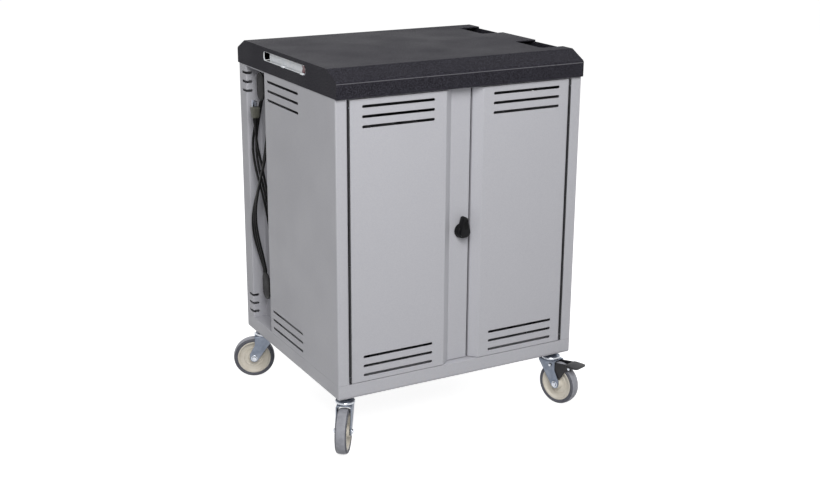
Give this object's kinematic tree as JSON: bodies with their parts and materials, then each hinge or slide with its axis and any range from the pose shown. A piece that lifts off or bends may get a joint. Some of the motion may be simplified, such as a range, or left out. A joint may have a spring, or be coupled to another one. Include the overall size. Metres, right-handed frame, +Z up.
{
  "type": "laptop charging cart",
  "caption": "Steel laptop charging cart on swivel casters with two hinged, vented doors, a black lid with hand holes, divider racks inside and a mains cord wound on cleats in a side bay.",
  "frame": {"origin": "on the floor, under the middle of the box round the cart without its cord", "axes": "+Z up, -Y towards the doors, -X towards the cord bay"},
  "size_m": [0.8866, 0.75, 1.0551],
  "materials": {
    "silver_paint": "fine textured powder coat",
    "black_paint": "coarse textured powder coat",
    "inner_steel": "smooth paint",
    "white_shell": "satin",
    "red_plastic": "gloss",
    "black_steel": "satin",
    "zinc": "zinc plated",
    "black_plastic": "fine grain",
    "black_rubber": "smooth",
    "cream_plastic": "moulded",
    "grey_rubber": "matt"
  },
  "bodies": {
    "cabinet": {"base_pan": "silver_paint", "left_side_panel": "silver_paint", "right_side_panel": "silver_paint", "back_panel": "silver_paint", "top_deck": "silver_paint", "top_rail": "silver_paint", "lid": "black_paint", "lower_shelf": "inner_steel", "upper_shelf": "inner_steel", "cable_panel": "inner_steel", "lower_divider_rack": "inner_steel", "upper_divider_rack": "inner_steel", "power_strip": "white_shell", "lower_outlet_strip": "white_shell", "upper_outlet_strip": "white_shell", "left_hinge_frame_leaf": "black_steel", "right_hinge_frame_leaf": "black_steel", "left_hinge_pin": "zinc", "right_hinge_pin": "zinc", "upper_cord_cleat": "black_plastic", "lower_cord_cleat": "black_plastic", "cord_gland": "black_plastic", "cord_hank": "black_rubber", "cord_lead": "black_rubber", "cord_plug": "black_rubber", "front_left_stem": "zinc", "front_right_stem": "zinc", "rear_left_stem": "zinc", "rear_right_stem": "zinc"},
    "left_door_leaf": {"left_door": "silver_paint", "left_hinge_door_leaf": "black_steel", "handle_plate": "black_plastic", "upper_rod_guide": "zinc", "lower_rod_guide": "zinc"},
    "right_door_leaf": {"right_door": "silver_paint", "right_hinge_door_leaf": "black_steel"},
    "handle": {"handle_knob": "black_plastic", "latch_cam": "zinc"},
    "upper_rod": {"upper_lock_rod": "zinc"},
    "lower_rod": {"lower_lock_rod": "zinc"},
    "rocker": {"power_switch": "red_plastic"},
    "front_left_swivel": {"front_left_fork": "zinc", "front_left_axle": "zinc"},
    "front_left_wheel": {"front_left_hub": "cream_plastic", "front_left_tyre": "grey_rubber"},
    "front_right_swivel": {"front_right_fork": "zinc", "front_right_axle": "zinc"},
    "front_right_wheel": {"front_right_hub": "cream_plastic", "front_right_tyre": "grey_rubber"},
    "front_right_brake": {"front_right_brake_pedal": "black_steel"},
    "rear_left_swivel": {"rear_left_fork": "zinc", "rear_left_axle": "zinc"},
    "rear_left_wheel": {"rear_left_hub": "cream_plastic", "rear_left_tyre": "grey_rubber"},
    "rear_right_swivel": {"rear_right_fork": "zinc", "rear_right_axle": "zinc"},
    "rear_right_wheel": {"rear_right_hub": "cream_plastic", "rear_right_tyre": "grey_rubber"},
    "rear_right_brake": {"rear_right_brake_pedal": "black_steel"}
  },
  "joints": [
    {"name": "left_door_hinge", "type": "hinge", "parent": "cabinet", "child": "left_door_leaf", "pos_m": [-0.35171, -0.30118, 0.5915], "axis": [0, 0, -1], "range_deg": [0, 165]},
    {"name": "right_door_hinge", "type": "hinge", "parent": "cabinet", "child": "right_door_leaf", "pos_m": [0.33379, -0.30118, 0.5915], "axis": [0, 0, 1], "range_deg": [0, 165]},
    {"name": "handle_turn", "type": "hinge", "parent": "left_door_leaf", "child": "handle", "pos_m": [-0.00046, -0.27918, 0.5826], "axis": [0, -1, 0], "range_deg": [0, 90]},
    {"name": "upper_rod_slide", "type": "slide", "parent": "left_door_leaf", "child": "upper_rod", "axis": [0, 0, 1], "range_m": [0, 0.018]},
    {"name": "lower_rod_slide", "type": "slide", "parent": "left_door_leaf", "child": "lower_rod", "axis": [0, 0, -1], "range_m": [0, 0.018]},
    {"name": "power_switch_rock", "type": "hinge", "parent": "cabinet", "child": "rocker", "pos_m": [-0.37496, -0.09518, 1.0303], "axis": [0, 1, 0], "range_deg": [-8, 8]},
    {"name": "front_left_swivel_turn", "type": "hinge", "parent": "cabinet", "child": "front_left_swivel", "pos_m": [-0.35096, -0.26318, 0.133], "axis": [0, 0, 1], "continuous": true},
    {"name": "front_left_wheel_roll", "type": "hinge", "parent": "front_left_swivel", "child": "front_left_wheel", "pos_m": [-0.36989, -0.29021, 0.0635], "axis": [0.8192, -0.5736, 0], "continuous": true},
    {"name": "front_right_swivel_turn", "type": "hinge", "parent": "cabinet", "child": "front_right_swivel", "pos_m": [0.33304, -0.26318, 0.133], "axis": [0, 0, 1], "continuous": true},
    {"name": "front_right_wheel_roll", "type": "hinge", "parent": "front_right_swivel", "child": "front_right_wheel", "pos_m": [0.34324, -0.29456, 0.0635], "axis": [0.9511, 0.309, 0], "continuous": true},
    {"name": "front_right_brake_press", "type": "hinge", "parent": "front_right_swivel", "child": "front_right_brake", "pos_m": [0.33737, -0.27649, 0.121], "axis": [0.9511, 0.309, 0], "range_deg": [0, 6.5]},
    {"name": "rear_left_swivel_turn", "type": "hinge", "parent": "cabinet", "child": "rear_left_swivel", "pos_m": [-0.35096, 0.31282, 0.133], "axis": [0, 0, 1], "continuous": true},
    {"name": "rear_left_wheel_roll", "type": "hinge", "parent": "rear_left_swivel", "child": "rear_left_wheel", "pos_m": [-0.38156, 0.32518, 0.0635], "axis": [-0.3746, -0.9272, 0], "continuous": true},
    {"name": "rear_right_swivel_turn", "type": "hinge", "parent": "cabinet", "child": "rear_right_swivel", "pos_m": [0.33304, 0.31282, 0.133], "axis": [0, 0, 1], "continuous": true},
    {"name": "rear_right_wheel_roll", "type": "hinge", "parent": "rear_right_swivel", "child": "rear_right_wheel", "pos_m": [0.36364, 0.32518, 0.0635], "axis": [-0.3746, 0.9272, 0], "continuous": true},
    {"name": "rear_right_brake_press", "type": "hinge", "parent": "rear_right_swivel", "child": "rear_right_brake", "pos_m": [0.34602, 0.31806, 0.121], "axis": [-0.3746, 0.9272, 0], "range_deg": [0, 6.5]}
  ],
  "couplings": [
    {"joint": "handle_turn", "follows": "upper_rod_slide", "rad_per_m": 87.2},
    {"joint": "lower_rod_slide", "follows": "upper_rod_slide", "ratio": 1}
  ]
}
